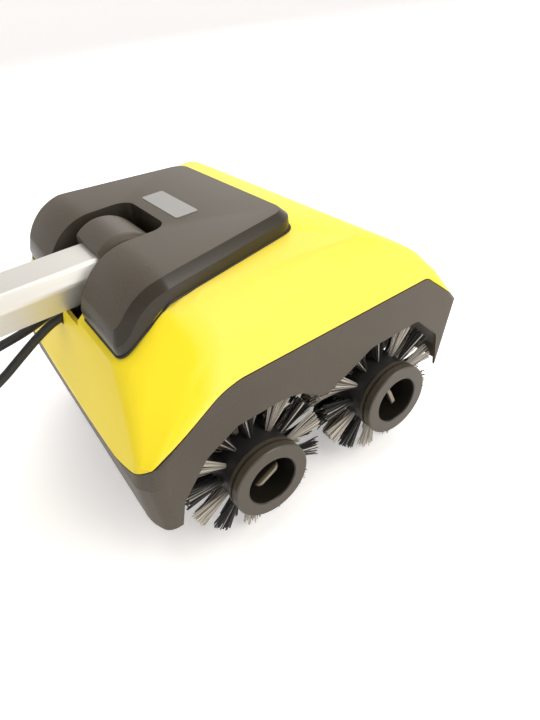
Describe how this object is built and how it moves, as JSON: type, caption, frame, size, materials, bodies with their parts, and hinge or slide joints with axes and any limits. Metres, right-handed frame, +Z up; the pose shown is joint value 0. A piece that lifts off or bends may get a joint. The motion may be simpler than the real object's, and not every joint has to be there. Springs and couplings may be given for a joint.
{
  "type": "electric patio cleaner",
  "caption": "Walk-behind patio cleaner with a moulded head on contra-rotating roller brushes, a tilting pole with cable and hose, and a switch handle.",
  "frame": {"origin": "on the floor, below the middle of the overall box", "axes": "+Z up, -Y to the front of the head, +Y along the lowered pole, X along the brush axles"},
  "size_m": [0.32, 1.2166, 0.2385],
  "materials": {
    "yellow_skin": "glossy moulded yellow plastic",
    "cover_grey": "fine grained dark warm grey plastic",
    "base_grey": "dark warm grey moulded plastic",
    "hub_grey": "smooth dark grey plastic",
    "lock_grey": "dark grey plastic",
    "bristle": "nylon bristles, light grey and black tufts in turn",
    "silver_tube": "satin silver tube",
    "handle_grey": "dark grey plastic",
    "control_black": "black plastic",
    "gear_steel": "machined steel",
    "shaft_steel": "ground steel",
    "case_alloy": "die-cast alloy",
    "inner_black": "black plastic",
    "rubber_black": "black flexible rubber"
  },
  "bodies": {
    "head": {"base_frame": "base_grey", "body_cover": "yellow_skin", "top_cover": "cover_grey", "gear_case_left": "case_alloy", "gear_case_right": "case_alloy", "shaft_bearings": "shaft_steel", "shaft_seals": "rubber_black", "motor_stator": "shaft_steel", "motor_end_shield": "case_alloy", "motor_end_cap": "inner_black", "run_capacitor": "inner_black", "spray_bars": "inner_black", "pivot_bracket": "base_grey", "pivot_pin": "shaft_steel", "cable_gland": "rubber_black", "hose_fitting": "rubber_black", "motor_cable_loop": "rubber_black", "water_hose_loop": "rubber_black"},
    "front_roller": {"front_axle": "shaft_steel", "front_drive_gear": "gear_steel", "front_hub_left": "hub_grey", "front_hub_right": "hub_grey", "front_roller_left": "hub_grey", "front_roller_right": "hub_grey", "front_bristles_left": "bristle", "front_bristles_right": "bristle"},
    "rear_roller": {"rear_axle": "shaft_steel", "rear_drive_gear": "gear_steel", "rear_hub_left": "hub_grey", "rear_hub_right": "hub_grey", "rear_roller_left": "hub_grey", "rear_roller_right": "hub_grey", "rear_bristles_left": "bristle", "rear_bristles_right": "bristle"},
    "front_lock_left": {"front_lock_left": "lock_grey"},
    "front_lock_right": {"front_lock_right": "lock_grey"},
    "rear_lock_left": {"rear_lock_left": "lock_grey"},
    "rear_lock_right": {"rear_lock_right": "lock_grey"},
    "front_idler": {"front_idler_gear": "gear_steel"},
    "rear_idler": {"rear_idler_gear": "gear_steel"},
    "layshaft": {"layshaft": "gear_steel", "reduction_gear": "gear_steel"},
    "rotor": {"rotor_core": "shaft_steel", "motor_shaft": "shaft_steel", "cooling_fan": "inner_black"},
    "pole": {"knuckle": "lock_grey", "lower_tube": "silver_tube", "tube_coupling": "handle_grey", "upper_tube": "silver_tube", "cord_clips": "handle_grey", "motor_cable_pole": "rubber_black", "water_hose_pole": "rubber_black", "handle_left": "handle_grey", "handle_right": "handle_grey", "water_inlet": "handle_grey", "mains_gland": "rubber_black"},
    "trigger": {"trigger": "control_black"},
    "lock_button": {"lock_button": "control_black"},
    "speed_dial": {"speed_dial": "control_black"},
    "water_tap": {"water_tap": "control_black"}
  },
  "joints": [
    {"name": "front_brush_spin", "type": "hinge", "parent": "head", "child": "front_roller", "pos_m": [0, -0.52625, 0.061], "axis": [1, 0, 0], "continuous": true},
    {"name": "rear_brush_spin", "type": "hinge", "parent": "head", "child": "rear_roller", "pos_m": [0, -0.40025, 0.061], "axis": [1, 0, 0], "continuous": true},
    {"name": "front_idler_spin", "type": "hinge", "parent": "head", "child": "front_idler", "pos_m": [0, -0.48425, 0.061], "axis": [1, 0, 0], "continuous": true},
    {"name": "rear_idler_spin", "type": "hinge", "parent": "head", "child": "rear_idler", "pos_m": [0, -0.44225, 0.061], "axis": [1, 0, 0], "continuous": true},
    {"name": "layshaft_spin", "type": "hinge", "parent": "head", "child": "layshaft", "pos_m": [0, -0.47338, 0.10157], "axis": [1, 0, 0], "continuous": true},
    {"name": "rotor_spin", "type": "hinge", "parent": "head", "child": "rotor", "pos_m": [0, -0.46325, 0.14233], "axis": [1, 0, 0], "continuous": true},
    {"name": "pole_tilt", "type": "hinge", "parent": "head", "child": "pole", "pos_m": [0, -0.38575, 0.1865], "axis": [1, 0, 0], "range_deg": [0, 90]},
    {"name": "front_lock_left_turn", "type": "hinge", "parent": "front_roller", "child": "front_lock_left", "pos_m": [-0.136, -0.52625, 0.061], "axis": [-1, 0, 0], "range_deg": [0, 90]},
    {"name": "front_lock_right_turn", "type": "hinge", "parent": "front_roller", "child": "front_lock_right", "pos_m": [0.136, -0.52625, 0.061], "axis": [1, 0, 0], "range_deg": [0, 90]},
    {"name": "rear_lock_left_turn", "type": "hinge", "parent": "rear_roller", "child": "rear_lock_left", "pos_m": [-0.136, -0.40025, 0.061], "axis": [-1, 0, 0], "range_deg": [0, 90]},
    {"name": "rear_lock_right_turn", "type": "hinge", "parent": "rear_roller", "child": "rear_lock_right", "pos_m": [0.136, -0.40025, 0.061], "axis": [1, 0, 0], "range_deg": [0, 90]},
    {"name": "trigger_pull", "type": "slide", "parent": "pole", "child": "trigger", "axis": [0, 1, 0], "range_m": [0, 0.005], "stiffness_N_per_m": 600, "springref_m": -0.002},
    {"name": "lock_button_press", "type": "slide", "parent": "pole", "child": "lock_button", "axis": [1, 0, 0], "range_m": [0, 0.003], "stiffness_N_per_m": 600, "springref_m": -0.002},
    {"name": "speed_dial_turn", "type": "hinge", "parent": "pole", "child": "speed_dial", "pos_m": [0, 0.48525, 0.2188], "axis": [0, 0, 1], "range_deg": [0, 270]},
    {"name": "water_tap_turn", "type": "hinge", "parent": "pole", "child": "water_tap", "pos_m": [0.047, 0.50425, 0.1695], "axis": [1, 0, 0], "range_deg": [0, 90]}
  ],
  "couplings": [
    {"joint": "rear_brush_spin", "follows": "front_brush_spin", "ratio": -1},
    {"joint": "front_idler_spin", "follows": "front_brush_spin", "ratio": -1},
    {"joint": "rear_idler_spin", "follows": "front_brush_spin", "ratio": 1},
    {"joint": "layshaft_spin", "follows": "front_brush_spin", "ratio": 1},
    {"joint": "rotor_spin", "follows": "front_brush_spin", "ratio": -2.1111}
  ]
}
